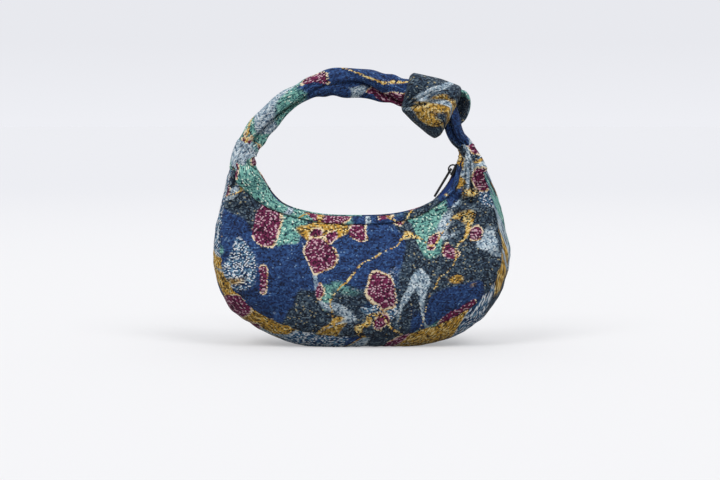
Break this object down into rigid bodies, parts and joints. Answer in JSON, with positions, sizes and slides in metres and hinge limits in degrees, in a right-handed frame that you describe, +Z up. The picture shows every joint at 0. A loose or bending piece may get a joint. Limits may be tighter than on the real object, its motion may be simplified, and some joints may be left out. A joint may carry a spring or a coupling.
{
  "type": "knotted crescent handbag",
  "caption": "Small crescent handbag in figured woven cloth, with a curved zip mouth, a lined interior and a soft strap tied in a knot near one end.",
  "frame": {"origin": "on the floor, under the middle of the bag's width and depth", "axes": "+Z up, +X to the right of someone who faces the front, front towards -Y"},
  "size_m": [0.259, 0.0742, 0.2438],
  "materials": {
    "tapestry": "thick figured weave, navy with wine, teal, ochre and pale grey-blue",
    "strap_cloth": "the same figured weave, soft and unpadded",
    "rim_cloth": "the same figured weave, turned and stitched",
    "fleece": "soft off-white felted fleece",
    "lining": "plain navy twill",
    "zip_tape": "blue woven zip tape",
    "black_metal": "black, half gloss"
  },
  "bodies": {
    "bag": {"gusset_panel": "tapestry", "front_panel": "tapestry", "back_panel": "tapestry", "gusset_interlining": "fleece", "front_interlining": "fleece", "back_interlining": "fleece", "gusset_lining": "lining", "front_lining": "lining", "back_lining": "lining", "slip_pocket": "lining", "front_rim_band": "rim_cloth", "back_rim_band": "rim_cloth", "mouth_end_tab": "strap_cloth", "left_strap_root": "strap_cloth", "right_strap_root": "strap_cloth", "zip_bottom_stop": "black_metal"},
    "zip_front_half": {"zip_tape_front": "zip_tape", "zip_teeth_front": "black_metal", "zip_top_stop_front": "black_metal"},
    "zip_back_half": {"zip_tape_back": "zip_tape", "zip_teeth_back": "black_metal", "zip_top_stop_back": "black_metal"},
    "slider": {"zip_slider": "black_metal"},
    "pull": {"zip_pull": "black_metal"},
    "strap": {"strap_arch": "strap_cloth", "knot_wrap": "strap_cloth", "knot_loop": "strap_cloth", "strap_tail": "strap_cloth"}
  },
  "joints": [
    {"name": "slider_travel", "type": "hinge", "parent": "bag", "child": "slider", "pos_m": [-0.004, 0, 0.197], "axis": [0, 1, 0], "range_deg": [0, 110], "deforming": ["zip_teeth_front", "zip_teeth_back", "zip_tape_front", "zip_tape_back"]},
    {"name": "front_half_parts", "type": "hinge", "parent": "bag", "child": "zip_front_half", "pos_m": [-0.08048, 0, 0.13573], "axis": [0.9903, 0, 0.1392], "range_deg": [-9.5, 0]},
    {"name": "back_half_parts", "type": "hinge", "parent": "bag", "child": "zip_back_half", "pos_m": [-0.08048, 0, 0.13573], "axis": [0.9903, 0, 0.1392], "range_deg": [0, 9.5]},
    {"name": "pull_flip", "type": "hinge", "parent": "slider", "child": "pull", "pos_m": [0.07878, 0, 0.15418], "axis": [0, 1, 0], "range_deg": [0, 95]},
    {"name": "strap_swing", "type": "hinge", "parent": "bag", "child": "strap", "pos_m": [-0.004, 0, 0.1725], "axis": [1, 0, 0], "range_deg": [-90, 90]}
  ],
  "couplings": [
    {"joint": "front_half_parts", "follows": "slider_travel", "ratio": -0.086},
    {"joint": "back_half_parts", "follows": "slider_travel", "ratio": 0.086}
  ]
}
